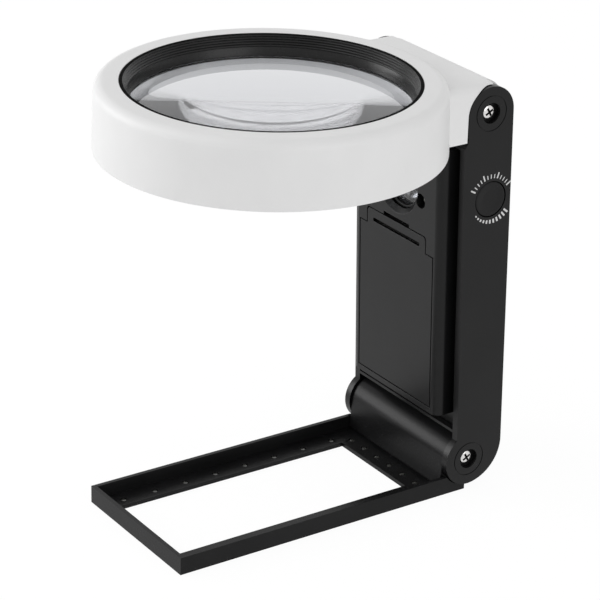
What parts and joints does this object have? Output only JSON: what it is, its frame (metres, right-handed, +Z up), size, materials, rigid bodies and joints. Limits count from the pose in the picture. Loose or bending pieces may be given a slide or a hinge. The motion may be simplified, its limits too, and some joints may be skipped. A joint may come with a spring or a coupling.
{
  "type": "folding stand magnifier",
  "caption": "Folding stand magnifier: a round lighted lens head on a flat arm that holds its batteries and a small second lens, hinged to an open lighted base frame.",
  "frame": {"origin": "on the table, below the middle of the whole object's box with the stand open", "axes": "+Z up, +X along both hinge pins towards the side with the power button, the head reaches out towards -Y"},
  "size_m": [0.1298, 0.1528, 0.1708],
  "materials": {
    "white_shell": "semi-gloss white moulded plastic",
    "black_shell": "semi-gloss black moulded plastic",
    "black_trim": "matt black moulded plastic",
    "black_button": "satin black moulded plastic",
    "clear_lens": "polished clear acrylic",
    "diode": "clear epoxy lens",
    "circuit_board": "green solder mask",
    "steel_screw": "nickel-plated steel",
    "brass_insert": "machined",
    "washer": "nylon",
    "battery_can": "printed film sleeve",
    "spring_metal": "plated spring steel"
  },
  "bodies": {
    "base": {"base_frame": "black_shell", "base_led_board": "circuit_board", "base_bottom_cover": "black_trim", "base_leds": "diode", "lower_hinge_screws": "steel_screw", "lower_hinge_inserts": "brass_insert", "lower_hinge_washers": "washer"},
    "arm": {"arm_shell": "black_shell", "battery_housing": "black_shell", "battery_door": "black_shell", "battery_cells": "battery_can", "battery_contacts": "spring_metal", "battery_springs": "spring_metal", "small_lens": "clear_lens", "small_lens_ring": "black_trim", "small_lens_led": "diode", "push_switch": "black_trim", "control_board": "circuit_board", "arm_screws": "steel_screw"},
    "head": {"head_housing": "white_shell", "baffle_ring": "black_trim", "main_lens": "clear_lens", "lens_clamp_ring": "black_trim", "head_bottom_cover": "white_shell", "head_led_board": "circuit_board", "head_leds": "diode", "head_cover_screws": "steel_screw", "upper_hinge_screws": "steel_screw", "upper_hinge_inserts": "brass_insert", "upper_hinge_washers": "washer"},
    "button": {"power_button": "black_button", "switch_plunger": "black_trim"}
  },
  "joints": [
    {"name": "base_fold", "type": "hinge", "parent": "base", "child": "arm", "pos_m": [0, 0.06108, 0.0136], "axis": [1, 0, 0], "range_deg": [0, 88.33]},
    {"name": "head_tilt", "type": "hinge", "parent": "arm", "child": "head", "pos_m": [0, 0.06277, 0.1554], "axis": [-1, 0, 0], "range_deg": [0, 88.33]},
    {"name": "button_press", "type": "slide", "parent": "arm", "child": "button", "axis": [-1, 0, 0], "range_m": [0, 0.0008], "stiffness_N_per_m": 1500, "springref_m": -0.0008}
  ]
}
